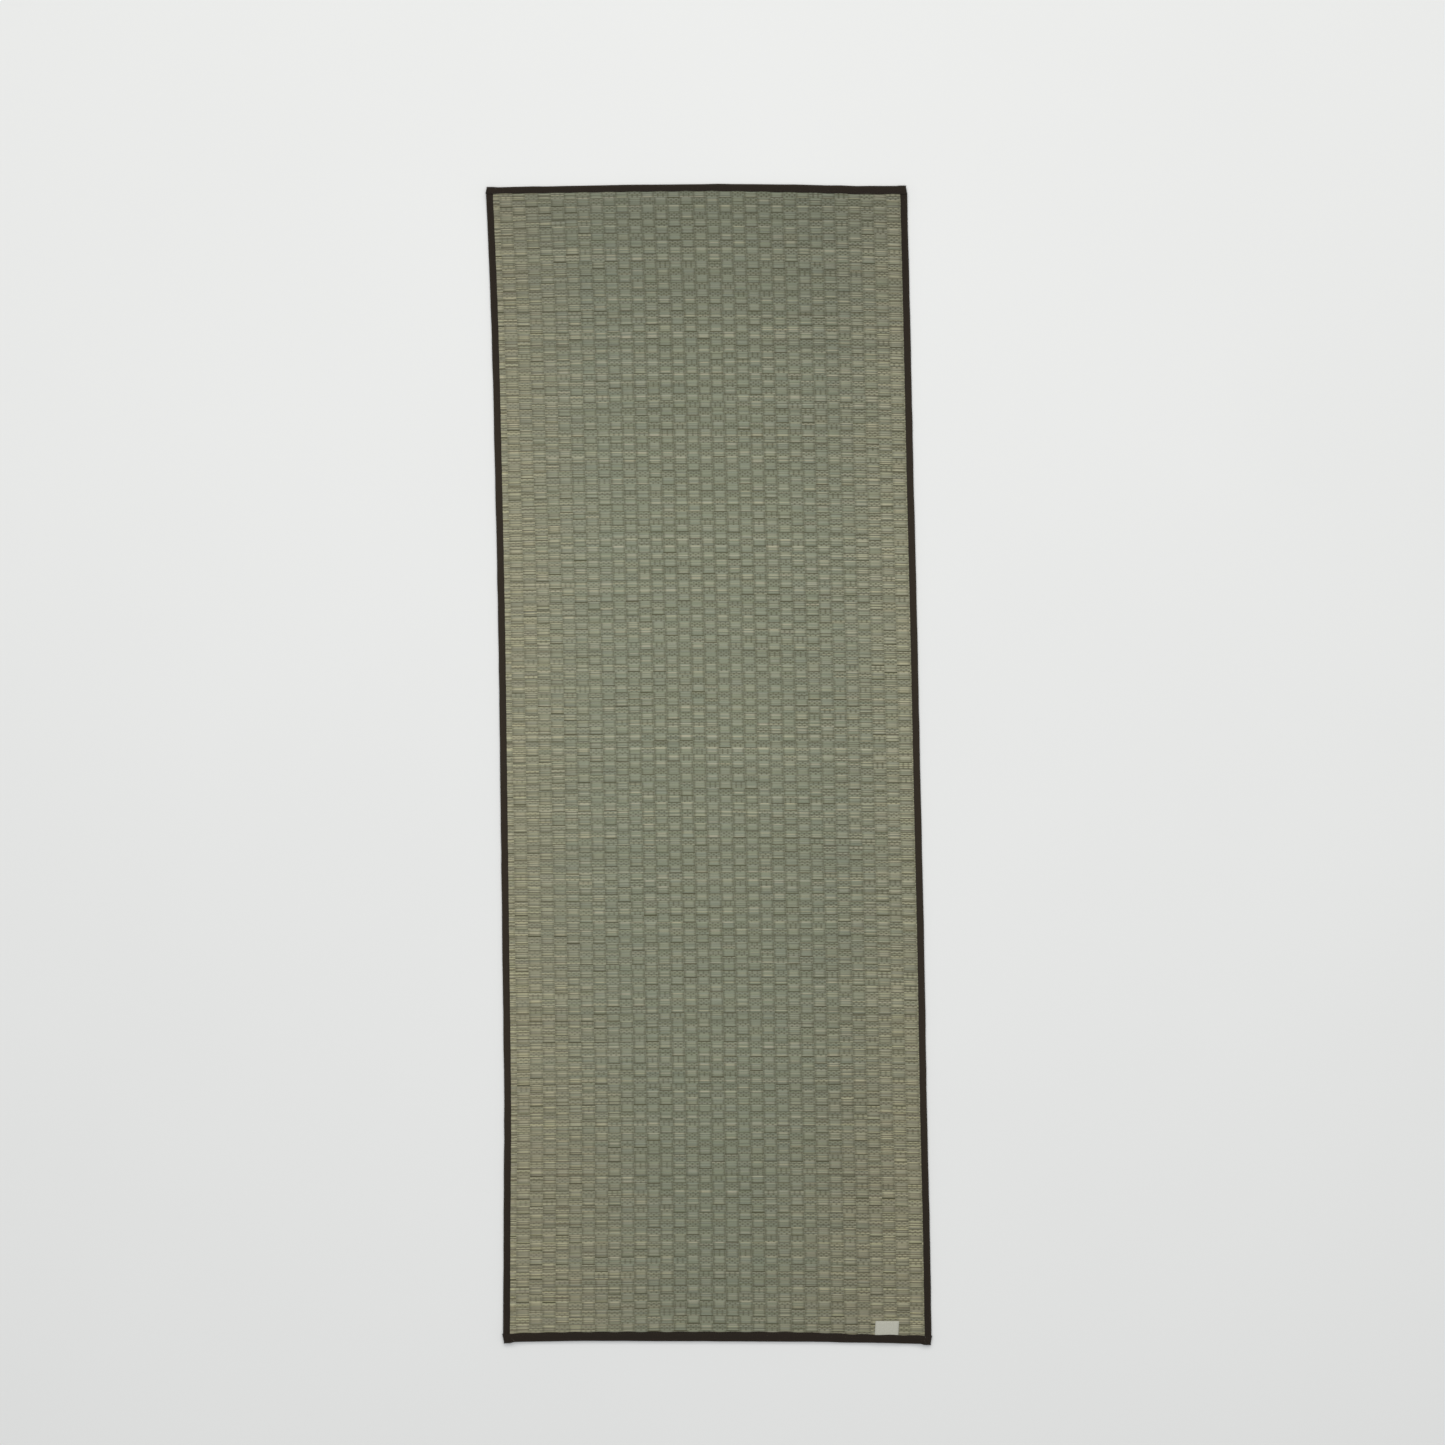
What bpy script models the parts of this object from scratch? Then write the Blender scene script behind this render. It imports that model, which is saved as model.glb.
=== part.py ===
"""A woven rush yoga mat, bound with cloth tape, lying flat on the floor.

Metres, +Z up. The mat's length runs along +Y, and the origin is on the floor under its middle.
The cloth is one sheet. It lies on the floor, and lifts a little at its edges, where each tape
folds round it. The end tapes lap over the ends of the side tapes, so the stack is thickest at
the corners. A small plain label lies on the cloth with its lower edge under the near tape.
"""

import math
from collections import namedtuple

import bmesh
import bpy

MM = 0.001

# Thickness of each layer, and the space that touching pieces keep
CLOTH = 2.8 * MM
TAPE = 0.8 * MM
LABEL = 0.5 * MM
SPACE = 0.3 * MM

# The cloth's rim stands this far inside the fold of its tape
RIM_INSET = 2.9 * MM
FOLD_REACH = 2.5 * MM
SIDE_TAPE_WIDTH = 10.4 * MM

# The cloth lies raised this far in from an edge, and comes down to the floor over the slope
SIDE_SHELF = 11.5 * MM
END_SHELF = 16.5 * MM
SLOPE = 26.0 * MM

# The end tapes step up over the side tapes, and stick out a little past them
STEP_END = 12.4 * MM
STEP_RUN = 6.0 * MM
OVERHANG = 0.9 * MM

# The long edges are drawn in over the last stretch before each corner
CORNER_DRAW = 2.2 * MM
CORNER_RUN = 13.0 * MM

# The label, as it lies: its upper left corner, its size, its lean, and where the tape rises over it
LABEL_LEFT = 260.5 * MM
LABEL_TOP = -866.9 * MM
LABEL_WIDTH = 36.8 * MM
LABEL_HEIGHT = 27.0 * MM
LABEL_LEAN = 0.06
LABEL_RISE_RUN = 4.0 * MM

# The long edges across the mat at places along it, in mm
SideRow = namedtuple("SideRow", "along left right")
SIDES = (
    SideRow(900, -347.2, 307.9),
    SideRow(700, -338.9, 312.8),
    SideRow(450, -332.6, 318.2),
    SideRow(200, -327.5, 324.2),
    SideRow(-50, -324.2, 329.5),
    SideRow(-300, -321.1, 335.1),
    SideRow(-540, -318.4, 339.2),
    SideRow(-720, -319.4, 343.4),
    SideRow(-900, -320.1, 346.4),
)

# The short edges along the mat at places across it, with the width of the tape there, in mm
EndRow = namedtuple("EndRow", "across far far_width near near_width")
ENDS = (
    EndRow(-345, 898.2, 10.2, -899.6, 13.4),
    EndRow(-230, 899.8, 10.5, -897.5, 14.2),
    EndRow(-110, 901.7, 10.9, -897.3, 14.6),
    EndRow(20, 902.9, 11.3, -897.8, 15.1),
    EndRow(140, 901.8, 12.3, -898.2, 14.8),
    EndRow(240, 899.8, 12.8, -899.9, 13.3),
    EndRow(345, 900.2, 12.9, -902.9, 13.2),
)

# How finely the pieces are divided: grid lines in mm from an edge, and numbers of steps
FOLD_STEPS = 6
SECTION_POINTS = range(FOLD_STEPS + 5)
EDGE_LINES = (0, 4, 8, 11.5, 14, 16.5, 20, 25, 31, 37, 43)
SHEET_ACROSS = 6
SHEET_ALONG = 18
TAPE_LINES = (0, 3, 6.5, 10, 13.3, 15.3, 17.3, 19.3, 25, 31, 37, 43)
TAPE_ALONG_SIDE = 30
TAPE_ALONG_END = 18
LABEL_ACROSS = 4
LABEL_ALONG = 8
RISE_LINES = 4

# The edges bow, so a place is found in a few rounds, each from the last
SETTLE_ROUNDS = 3

# Each material: its name, colour and roughness
RUSH = ("Woven rush", (0.212, 0.220, 0.156), 0.75)
COTTON_TAPE = ("Cotton tape", (0.022, 0.017, 0.012), 0.85)
COTTON_LABEL = ("Plain cotton", (0.47, 0.46, 0.39), 0.9)


def soft_step(value):
    """0 below 0, 1 above 1, and a smooth rise between."""
    value = min(max(value, 0.0), 1.0)
    return value * value * (3.0 - 2.0 * value)


def read_table(rows, column, at):
    """A smooth curve through one column of a table, read at a place in metres on its first column."""
    rows = sorted(rows, key=lambda row: row[0])
    places = [row[0] * MM for row in rows]
    values = [getattr(row, column) * MM for row in rows]
    last = len(rows) - 1
    at = min(max(at, places[0]), places[last])
    k = max(i for i in range(last) if places[i] <= at)
    run = places[k + 1] - places[k]

    def slope(i):
        before, after = max(i - 1, 0), min(i + 1, last)
        return (values[after] - values[before]) / (places[after] - places[before])

    t = (at - places[k]) / run
    rise = values[k + 1] - values[k]
    start = slope(k) * run - rise
    finish = rise - slope(k + 1) * run
    return values[k] + rise * t + t * (1 - t) * (start * (1 - t) + finish * t)


def end_at(end, x):
    return read_table(ENDS, end, x)


def end_distance(x, y):
    """How far a place lies inside the nearer short edge."""
    return min(end_at("far", x) - y, y - end_at("near", x))


def side_at(side, y):
    """The long edge's place across the mat, drawn in near the corners."""
    inward = 1 if side == "left" else -1
    x = read_table(SIDES, side, y)
    draw = CORNER_DRAW * soft_step(1 - end_distance(x, y) / CORNER_RUN)
    return x + inward * draw


def shelf(distance, width):
    """How much a tape under the cloth lifts it, at a distance in from that edge."""
    return (TAPE + SPACE) * soft_step(1 - (distance - width) / SLOPE)


def lift_at_end(x, y):
    return shelf(end_distance(x, y), END_SHELF)


def lift_at_side(x, y):
    return shelf(min(x - side_at("left", y), side_at("right", y) - x), SIDE_SHELF)


def cloth_top(x, y):
    return lift_at_side(x, y) + lift_at_end(x, y) + CLOTH


def lines(edge_lines, middle_count):
    """Grid lines as (share of the span, offset): close together near both edges, even between."""
    start = [(0.0, line * MM) for line in edge_lines]
    inset = start[-1][1]
    shares = [(i + 1) / (middle_count + 1) for i in range(middle_count)]
    middle = [(share, inset * (1 - 2 * share)) for share in shares]
    return start + middle + [(1.0, -offset) for _, offset in reversed(start)]


def on_line(low, high, line):
    share, offset = line
    return low + (high - low) * share + offset


def mapped_grid(name, across, along, place, thickness, grow, material):
    """A grid whose points place() puts, given a value from each list, thickened by Solidify."""
    shape = bmesh.new()
    bmesh.ops.create_grid(shape, x_segments=len(across) - 1, y_segments=len(along) - 1, size=1.0)
    for point in shape.verts:
        i = round((point.co.x + 1) / 2 * (len(across) - 1))
        j = round((point.co.y + 1) / 2 * (len(along) - 1))
        point.co = place(across[i], along[j])
    mesh = bpy.data.meshes.new(name)
    shape.to_mesh(mesh)
    shape.free()
    mesh.shade_smooth()
    piece = bpy.data.objects.new(name, mesh)
    shell = piece.modifiers.new("Thickness", "SOLIDIFY")
    shell.thickness = thickness
    shell.offset = grow
    shell.use_even_offset = True
    piece.data.materials.append(material)
    return piece


def fold_section(width, height):
    """(inward, up) points round the outside of a folded tape, from under its inner edge to above it."""
    points = [(width, 0.0), ((width + FOLD_REACH) / 2, 0.0)]
    for step in range(FOLD_STEPS + 1):
        turn = math.pi * step / FOLD_STEPS
        inward = FOLD_REACH * (1 - math.sin(turn))
        points.append((inward, height / 2 * (1 - math.cos(turn))))
    points.append(((width + FOLD_REACH) / 2, height))
    points.append((width, height))
    return points


def rush_mat(material):
    """The cloth: its rim stands inside the fold of the tapes, its middle lies on the floor."""

    def place(across_line, along_line):
        x = y = 0.0
        for _ in range(SETTLE_ROUNDS):
            y = on_line(end_at("near", x) + RIM_INSET, end_at("far", x) - RIM_INSET, along_line)
            x = on_line(side_at("left", y) + RIM_INSET, side_at("right", y) - RIM_INSET, across_line)
        return x, y, cloth_top(x, y) - CLOTH

    across = lines(EDGE_LINES, SHEET_ACROSS)
    along = lines(EDGE_LINES, SHEET_ALONG)
    return mapped_grid("rush_mat", across, along, place, CLOTH, 1, material)


def side_binding(side, material):
    """The tape folded round one long edge, raised at its ends where the end tapes go under it."""
    inward = 1 if side == "left" else -1
    height = 2 * (TAPE + SPACE) + CLOTH
    section = fold_section(SIDE_TAPE_WIDTH, height)

    def place(k, line):
        reach, up = section[k]
        x = y = 0.0
        for _ in range(SETTLE_ROUNDS):
            y = on_line(end_at("near", x) + RIM_INSET, end_at("far", x) - RIM_INSET, line)
            x = side_at(side, y)
        return x + inward * reach, y, up + lift_at_end(x, y)

    along = lines(TAPE_LINES, TAPE_ALONG_SIDE)
    return mapped_grid("binding_" + side, SECTION_POINTS, along, place, TAPE, -inward, material)


def end_height(end, x, y):
    """Outer height of an end tape: over the cloth, over the side tapes and over the label."""
    height = 2 * (TAPE + SPACE) + CLOTH + lift_at_side(x, y)
    in_from_side = min(x - side_at("left", y), side_at("right", y) - x)
    height += (TAPE + SPACE) * soft_step((STEP_END + STEP_RUN - in_from_side) / STEP_RUN)
    if end == "near":
        outside = max(LABEL_LEFT - x, x - LABEL_LEFT - LABEL_WIDTH) - LABEL_RISE_RUN / 2
        height += (LABEL + SPACE) * soft_step(1 - outside / LABEL_RISE_RUN)
    return height


def end_binding(end, material):
    """The tape folded round one short edge, lapped over the ends of the side tapes."""
    inward = 1 if end == "near" else -1

    def place(line, k):
        x = y = 0.0
        for _ in range(SETTLE_ROUNDS):
            width = end_at(end + "_width", x)
            reach, up = fold_section(width, end_height(end, x, y))[k]
            y = end_at(end, x) + inward * reach
            x = on_line(side_at("left", y) - OVERHANG, side_at("right", y) + OVERHANG, line)
        return x, y, up

    across = lines(TAPE_LINES, TAPE_ALONG_END)
    if end == "near":
        across = with_label_lines(across)
    return mapped_grid("binding_" + end, across, SECTION_POINTS, place, TAPE, -inward, material)


def with_label_lines(across):
    """Adds the grid lines where the near tape rises over the label and comes down again."""
    low = side_at("left", LABEL_TOP) - OVERHANG
    high = side_at("right", LABEL_TOP) + OVERHANG
    outward = [LABEL_RISE_RUN * k / 2 for k in range(RISE_LINES)]
    rises = [LABEL_LEFT - run for run in outward]
    falls = [LABEL_LEFT + LABEL_WIDTH + run for run in outward]
    added = [((x - low) / (high - low), 0.0) for x in rises + falls]
    return sorted(across + added, key=lambda line: on_line(low, high, line))


def label(material):
    """The plain label: its lower edge lies under the near tape."""

    def place(u, v):
        y = LABEL_TOP - LABEL_HEIGHT * (1 - v)
        x = LABEL_LEFT + LABEL_WIDTH * u - LABEL_LEAN * (LABEL_TOP - y)
        return x, y, cloth_top(x, y) + SPACE

    across = [i / LABEL_ACROSS for i in range(LABEL_ACROSS + 1)]
    along = [i / LABEL_ALONG for i in range(LABEL_ALONG + 1)]
    return mapped_grid("label", across, along, place, LABEL, 1, material)


def make_material(name, colour, roughness):
    material = bpy.data.materials.new(name)
    material.use_nodes = True
    surface = material.node_tree.nodes["Principled BSDF"]
    surface.inputs["Base Color"].default_value = (*colour, 1.0)
    surface.inputs["Roughness"].default_value = roughness
    surface.inputs["Metallic"].default_value = 0.0
    return material


def main():
    for old in list(bpy.data.objects):
        bpy.data.objects.remove(old, do_unlink=True)
    rush = make_material(*RUSH)
    tape = make_material(*COTTON_TAPE)
    cotton = make_material(*COTTON_LABEL)
    pieces = [
        rush_mat(rush),
        side_binding("left", tape),
        side_binding("right", tape),
        end_binding("far", tape),
        end_binding("near", tape),
        label(cotton),
    ]
    mat = bpy.data.collections.new("Rush yoga mat")
    bpy.context.scene.collection.children.link(mat)
    for piece in pieces:
        mat.objects.link(piece)


main()
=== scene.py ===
# A woven rush yoga mat bound with cotton tape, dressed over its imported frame.
# Metres, +Z up. The mat's length runs along +Y, and the origin is on the floor under its middle.

import math
from functools import partial
from types import SimpleNamespace

import bpy
import numpy as np
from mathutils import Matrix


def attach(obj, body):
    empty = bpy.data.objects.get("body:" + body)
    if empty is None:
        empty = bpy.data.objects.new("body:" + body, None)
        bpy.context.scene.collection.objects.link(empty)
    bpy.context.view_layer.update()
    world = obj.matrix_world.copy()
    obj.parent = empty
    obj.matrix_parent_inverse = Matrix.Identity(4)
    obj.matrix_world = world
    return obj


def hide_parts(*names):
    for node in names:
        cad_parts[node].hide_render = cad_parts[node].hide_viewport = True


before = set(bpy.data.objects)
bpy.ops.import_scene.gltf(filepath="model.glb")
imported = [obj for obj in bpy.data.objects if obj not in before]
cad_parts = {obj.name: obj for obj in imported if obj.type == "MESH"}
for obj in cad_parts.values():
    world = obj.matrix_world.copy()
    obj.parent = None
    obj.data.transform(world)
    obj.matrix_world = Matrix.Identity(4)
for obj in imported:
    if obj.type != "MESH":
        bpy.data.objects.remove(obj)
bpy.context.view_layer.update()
print("Frame loaded with", len(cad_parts), "pieces")

mm = 0.001

# The mat's edges as it lies, in mm. Other pieces take their places from these
outline = {
    # along the mat, left edge, right edge
    "sides": (
        (900, -347.2, 307.9), (700, -338.9, 312.8), (450, -332.6, 318.2), (200, -327.5, 324.2),
        (-50, -324.2, 329.5), (-300, -321.1, 335.1), (-540, -318.4, 339.2), (-720, -319.4, 343.4),
        (-900, -320.1, 346.4),
    ),
    # across the mat, far edge, width of its tape, near edge, width of its tape
    "ends": (
        (-345, 897.1, 10.3, -899.2, 13.4), (-230, 899.3, 10.6, -897.1, 14.2),
        (-110, 901.3, 10.9, -896.9, 14.6), (20, 902.5, 11.3, -897.4, 15.1),
        (140, 901.4, 12.3, -897.8, 14.8), (240, 899.4, 12.8, -899.5, 13.3),
        (345, 899.6, 12.9, -901.3, 13.2),
    ),
    "cornerDraw": 2.2,      # how far the long edges are drawn in at a corner
    "cornerRun": 13.0,      # over this much of their length
    "cloth": 2.8,           # thicknesses, and the space that touching layers keep
    "tape": 0.8,
    "label": 0.5,
    "space": 0.3,
    "sideTape": 10.7,       # width of the side tapes on top
    "sideShelf": 11.5,      # how far in from an edge the tape under the cloth lifts it
    "endShelf": 16.5,
    "slope": 26.0,          # and how far on it takes to come down to the floor
}
tapeLayer = outline["tape"] + outline["space"]
foldedHeight = 2 * tapeLayer + outline["cloth"]   # of a tape round the cloth
sideColumn = {"left": 1, "right": 2}
endColumn = {"far": 1, "farWidth": 2, "near": 3, "nearWidth": 4}


# Small helpers

def toLinear(hexColour):
    parts = [int(hexColour[i : i + 2], 16) / 255 for i in (1, 3, 5)]
    return tuple(c / 12.92 if c <= 0.04045 else ((c + 0.055) / 1.055) ** 2.4 for c in parts) + (1.0,)


# Gives a node's inputs their values, by order or by name, or links them to other nodes' outputs
def setInputs(node, values):
    for socket, value in values.items() if isinstance(values, dict) else enumerate(values):
        if isinstance(value, bpy.types.NodeSocket):
            node.id_data.links.new(value, node.inputs[socket])
        else:
            node.inputs[socket].default_value = value


# Adds one node with its settings and inputs. A kind in capitals is an operation of a Math node, and
# one without Node in its name is a shader's. Where it is called add, it's this function for one tree
def addNode(tree, kind, values=(), output=0, **settings):
    if kind.isupper():
        settings["operation"] = kind
        kind = "Math"
    node = tree.nodes.new(kind if "Node" in kind else "ShaderNode" + kind)
    for setting, value in settings.items():
        setattr(node, setting, value)
    setInputs(node, values)
    return node if output is None else node.outputs[output]


# Settings that come again: a Map Range that eases in and out, a Mix of colours, and White Noise that is
# the same for the same two whole numbers
smooth = {"interpolation_type": "SMOOTHSTEP"}
inColour = {"output": 2, "data_type": "RGBA"}
ofPair = {"noise_dimensions": "2D"}


def softStep(value):
    value = np.clip(value, 0.0, 1.0)
    return value * value * (3.0 - 2.0 * value)


# A smooth curve through one column of a table, read at places on its first column
def readTable(rows, column, at):
    table = np.array(sorted(rows), dtype=float)
    places, values = table[:, 0], table[:, column]
    last = len(places) - 1
    before = np.maximum(np.arange(last + 1) - 1, 0)
    after = np.minimum(np.arange(last + 1) + 1, last)
    slope = (values[after] - values[before]) / (places[after] - places[before])
    at = np.clip(at, places[0], places[last])
    k = np.clip(np.searchsorted(places, at, side="right") - 1, 0, last - 1)
    run = places[k + 1] - places[k]
    rise = values[k + 1] - values[k]
    t = (at - places[k]) / run
    start = slope[k] * run - rise
    finish = rise - slope[k + 1] * run
    return values[k] + rise * t + t * (1 - t) * (start * (1 - t) + finish * t)


# A smooth random field from -1 to 1, with a new value each step across and each step down
def unevenness(seed, across, down, acrossStep, downStep):
    u = (across - np.min(across)) / acrossStep
    v = (down - np.min(down)) / downStep
    i, j = v.astype(int), u.astype(int)
    lattice = np.random.default_rng(seed).uniform(-1, 1, (int(np.max(i)) + 2, int(np.max(j)) + 2))
    s, t = softStep(v - i), softStep(u - j)
    upper = lattice[i, j] * (1 - t) + lattice[i, j + 1] * t
    lower = lattice[i + 1, j] * (1 - t) + lattice[i + 1, j + 1] * t
    return upper * (1 - s) + lower * s


# Where the edges are, in metres

def endAt(end, x):
    return readTable(outline["ends"], endColumn[end], x / mm) * mm


def sideLine(side, y):
    return readTable(outline["sides"], sideColumn[side], y / mm) * mm


def endDistance(x, y):
    return np.minimum(endAt("far", x) - y, y - endAt("near", x))


def sideAt(side, y):
    inward = 1 if side == "left" else -1
    x = sideLine(side, y)
    draw = outline["cornerDraw"] * softStep(1 - endDistance(x, y) / (outline["cornerRun"] * mm))
    return x + inward * draw * mm


def sideDistance(x, y):
    return np.minimum(x - sideAt("left", y), sideAt("right", y) - x)


def shelf(distance, width):
    return tapeLayer * mm * softStep(1 - (distance / mm - width) / outline["slope"])


def liftAtEnd(x, y):
    return shelf(endDistance(x, y), outline["endShelf"])


def liftAtSide(x, y):
    return shelf(sideDistance(x, y), outline["sideShelf"])


def clothTop(x, y):
    return liftAtSide(x, y) + liftAtEnd(x, y) + outline["cloth"] * mm


def newObject(name, data):
    made = bpy.data.objects.new(name, data)
    bpy.context.scene.collection.objects.link(made)
    return made


# A mesh from a grid of points, (lines down, points across, 3), facing up, with UV maps given the same way
def gridPiece(name, points, maps):
    down, across = points.shape[:2]
    corner = np.arange(down * across).reshape(down, across)
    faces = np.stack([corner[:-1, :-1], corner[1:, :-1], corner[1:, 1:], corner[:-1, 1:]], axis=-1)
    faces = faces.reshape(-1, 4)
    mesh = bpy.data.meshes.new(name)
    mesh.from_pydata(points.reshape(-1, 3).tolist(), [], faces.tolist())
    for mapName, places in maps.items():
        layer = mesh.uv_layers.new(name=mapName)
        values = places.reshape(-1, 2)[faces.ravel()] if places.shape[:2] == (down, across) else places
        layer.data.foreach_set("uv", values.astype(np.float32).ravel())
    mesh.shade_smooth()
    return newObject(name, mesh)


# Runs a Geometry Nodes tree, or other modifiers, on a piece and keeps the result as its plain mesh
def settle(piece, tree=None, inputs=None):
    if tree is not None:
        modifier = piece.modifiers.new(tree.name, "NODES")
        modifier.node_group = tree
        for socket in tree.interface.items_tree:
            if socket.in_out == "INPUT" and socket.name in (inputs or {}):
                modifier[socket.identifier] = inputs[socket.name]
    bpy.context.view_layer.update()
    graph = bpy.context.evaluated_depsgraph_get()
    mesh = bpy.data.meshes.new_from_object(piece.evaluated_get(graph))
    mesh.name = piece.name
    piece.modifiers.clear()
    piece.data = mesh
    return piece


def newTree(name, inputs):
    tree = bpy.data.node_groups.new(name, "GeometryNodeTree")
    tree.interface.new_socket("Geometry", in_out="INPUT", socket_type="NodeSocketGeometry")
    for title, kind in inputs.items():
        tree.interface.new_socket(title, in_out="INPUT", socket_type="NodeSocket" + kind)
    tree.interface.new_socket("Geometry", in_out="OUTPUT", socket_type="NodeSocketGeometry")
    return tree, partial(addNode, tree)


def newMaterial(name):
    material = bpy.data.materials.new(name)
    material.use_nodes = True
    tree = material.node_tree
    return material, tree.nodes["Principled BSDF"], partial(addNode, tree)


# Noise drawn out along the rushes, with so many waves to a column and to a row, pick or stem
def streaks(add, across, down, waves, detail):
    spot = add("CombineXYZ", [across, down])
    spot = add("VectorMath", [spot, (*waves, 0.0)], operation="MULTIPLY")
    return add("TexNoise", {"Vector": spot, "Scale": 1.0, "Detail": detail})


# The weave: rushes run across the mat over a cotton warp. In a float block each pick of rushes
# passes over the whole column of warps. In a bound block the warps hold the picks down in turn.
# Blocks alternate as on a chequerboard.
weave = {
    "firstColumn": 1.03,       # column and row numbers are whole at the middle of a block
    "columnsAcross": 31.56,    # columns that show between the side tapes
    "warpsPerColumn": 5,       # a warp each 4 mm
    "picksPerRow": 4,          # a pick each 2.7 mm
    "stemsPerPick": 2,         # of two rush stems, so a stem is 1.4 mm wide
    # along the mat in mm, rows counted from the far end in the middle of the mat
    "rowCount": (
        (900, -0.15), (870, 2.55), (720, 16.25), (570, 30.05), (420, 44.05), (270, 58.05), (120, 71.85),
        (-30, 85.75), (-180, 99.55), (-330, 113.35), (-480, 126.95), (-630, 140.65), (-780, 153.75),
        (-850, 159.85), (-900, 164.15),
    ),
    "rowsInAll": 163.0,
    "sagNear": 0.20,           # rows that the sides hang behind the middle, at the near end
    "sagFar": 0.33,            # and how much more at the far end
    # how far the edges of picks wander, in picks, then rows in rows and columns in columns, each with
    # the columns and picks or rows that a bend takes
    "wander": ((0.30, 5, 1), (0.10, 7, 5), (0.030, 1, 6)),
    "rowGrip": 0.6,            # how much less a pick wanders where a row ends
    "repeats": 0.10,           # the share of picks that go the same way as the one before
    "turnsTogether": 4.5,      # columns over which picks keep the same turns
    "turnShift": 1.7,          # columns by which those stretches shift from row to row
    "seed": 11,
    "linesPerColumn": 10,      # two for each warp
    "linesPerRow": 8,          # a valley and a crown for each pick
    "firstLine": (9, 5),       # the grid's first and last lines, which the tapes cover
    "lastLine": (327, 1312),
    "pieces": 6,               # lengthwise pieces, so that each stays light
    "folds": 4,                # stretches side by side in a piece's baking map
    "pressRun": 3.0,           # mm over which a tape presses the weave flat
    "pressStart": 0.15,        # and the share of that run which lies under the tape
    "keptUnderLabel": 0.3,     # the share of its height that the weave keeps under the label
    "floatTop": 0.34,          # columns from its middle where a float reaches its full height
    "filled": 0.45,            # the share of its rise that is lost at the mat's sides
    "relief": {                # heights of the relief, in mm
        "Float rise": 0.50, "Pip height": 0.20, "Pick crown": 0.30, "Unevenness": 0.20, "Groove": 0.22,
    },
    "thickness": (0.30, 1.7),  # how fast picks change: waves in a column, and from pick to pick
    "gaps": (0.16, 5.3),       # how fast gaps between rows change, in the same way
    "gapDepth": 2.0,           # how deep gaps are, in grooves
    "gapRuns": 2.4,            # how much more their waves count than luck
    "gapChance": (1.60, 2.0),  # the sums of the two between which a gap opens
}


# How many rows the sides hang behind the middle: share is 0 at the left tape and 1 at the right one
def rowSag(share, row):
    nearness = 1 - row / weave["rowsInAll"]
    return (2 * share - 1) ** 2 * (weave["sagNear"] + weave["sagFar"] * nearness**3)


# Where the weave shows at a place along the mat: from the left tape to the right one
def weaveSpan(y):
    return sideLine("left", y) + outline["sideTape"] * mm, sideLine("right", y) - outline["sideTape"] * mm


# The place of a column and row on the floor, and the other way round
def weavePlace(column, row):
    share = (column - weave["firstColumn"]) / weave["columnsAcross"]
    counts = [(count, along) for along, count in weave["rowCount"]]
    y = readTable(counts, 1, row + rowSag(share, row)) * mm
    low, high = weaveSpan(y)
    return low + (high - low) * share, y


def weaveNumber(x, y):
    low, high = weaveSpan(y)
    share = (x - low) / (high - low)
    row = readTable(weave["rowCount"], 1, y / mm)
    return weave["firstColumn"] + share * weave["columnsAcross"], row - rowSag(share, row)


# Where a place is in the weave, worked out from its column and row, in a tree of either kind
def weavePosition(add, place):
    across, down = add("SeparateXYZ", [place], output=None).outputs[:2]
    column = add("ROUND", [across])
    row = add("ROUND", [down])
    block = add("ADD", [column, row])
    fromColumn = add("SUBTRACT", [across, column])
    fromRow = add("SUBTRACT", [down, row])
    picks = weave["picksPerRow"]
    pickCount = add("MULTIPLY_ADD", [down, picks, picks / 2])
    pick = add("FLOOR", [pickCount])
    inPick = add("SUBTRACT", [pickCount, pick])
    # rounded over each pick: 0 in the valleys between picks, 1 on their crowns
    swing = add("MULTIPLY_ADD", [inPick, 2.0, -1.0])
    square = add("MULTIPLY", [swing, swing])
    # 1 on a pip, where the rush shows over a warp, and -1 where the warp lies over the rush. Picks
    # take turns, but now and then one repeats the last, which lines the pips up. A row may start
    # with either turn
    shifted = add("MULTIPLY_ADD", [row, weave["turnShift"], column])
    stretch = add("SNAP", [shifted, weave["turnsTogether"]])
    repeat = add("TexWhiteNoise", {"Vector": add("CombineXYZ", [stretch, pick])}, **ofPair)
    repeat = add("LESS_THAN", [repeat, weave["repeats"]])
    start = add("TexWhiteNoise", {"Vector": add("CombineXYZ", [stretch, row])}, **ofPair)
    start = add("ROUND", [start])
    turn = add("ADD", [add("ADD", [pick, repeat]), start])
    side = add("MULTIPLY_ADD", [add("PINGPONG", [turn, 1.0]), -2.0, 1.0])
    wave = add("COSINE", [add("MULTIPLY", [fromColumn, math.pi * weave["warpsPerColumn"]])])
    # -1 at the left tape and 1 at the right one. Stems are thickest there, at their butt ends
    columns = add("SUBTRACT", [across, weave["firstColumn"]])
    aside = add("MULTIPLY_ADD", [columns, 2 / weave["columnsAcross"], -1.0])
    thick = add("MULTIPLY", [aside, aside])
    return SimpleNamespace(
        across=across, down=down, column=column, fromColumn=fromColumn, fromRow=fromRow,
        pick=pick, pickCount=pickCount, columns=columns, aside=aside, thick=thick,
        bound=add("PINGPONG", [block, 1.0]),
        crown=add("SUBTRACT", [1.0, square]),
        pip=add("MULTIPLY", [wave, side]),
        offColumn=add("ABSOLUTE", [fromColumn]),
        filled=add("MULTIPLY_ADD", [thick, -weave["filled"], 1.0]),
    )


# Where two rows of picks stand apart, from 0 to 1: a gap often runs on over several columns
def rowParting(add, at):
    rowSide = add("ROUND", [add("ADD", [at.down, 0.5])])
    parting = streaks(add, at.across, rowSide, weave["gaps"], 1.0)
    luck = add("TexWhiteNoise", {"Vector": add("CombineXYZ", [at.column, rowSide])}, **ofPair)
    parting = add("MULTIPLY_ADD", [parting, weave["gapRuns"], luck])
    return add("MapRange", [parting, *weave["gapChance"]])


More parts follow.
